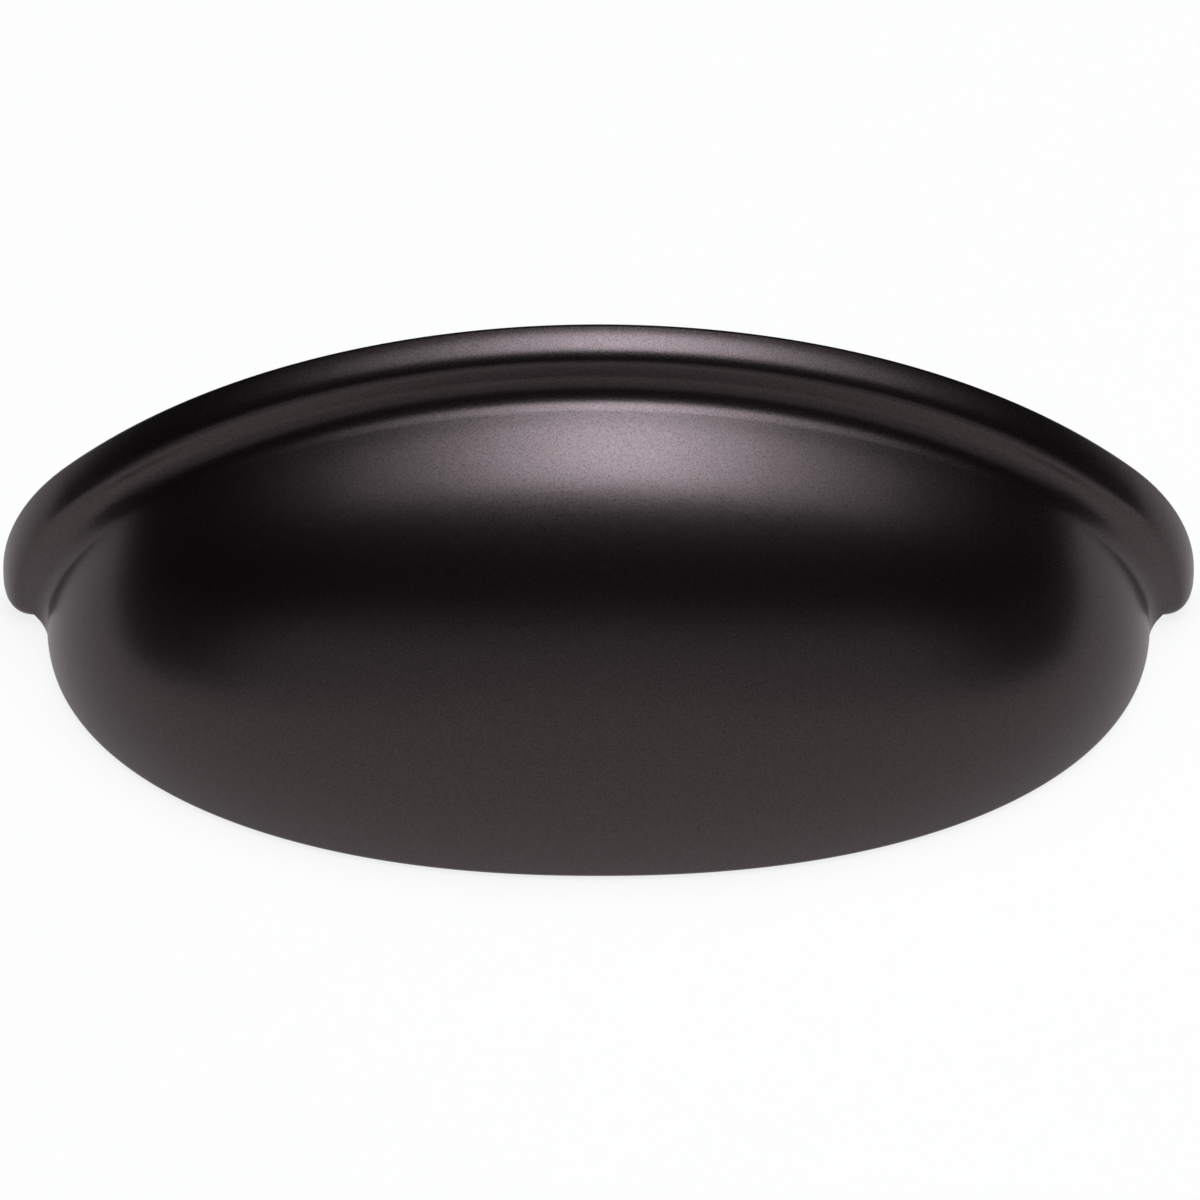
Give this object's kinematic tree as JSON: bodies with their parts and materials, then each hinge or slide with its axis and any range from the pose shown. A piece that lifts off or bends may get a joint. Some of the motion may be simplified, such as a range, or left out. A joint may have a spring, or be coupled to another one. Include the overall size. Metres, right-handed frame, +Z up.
{
  "type": "cabinet cup pull",
  "caption": "Cup-shaped cabinet pull cast in one piece: arched flange, domed cup that opens downwards for the fingers, and tapped screw bosses inside.",
  "frame": {"origin": "on the flange's back face, midway between the two screw holes", "axes": "+X across the width, +Y out of the back face into the drawer front, +Z up; the cup stands out towards -Y and opens downwards"},
  "size_m": [0.108, 0.0307, 0.043],
  "materials": {
    "satin_black": "satin black powder coat with a very fine grain"
  },
  "bodies": {
    "root": {"cup_pull": "satin_black"}
  },
  "joints": []
}
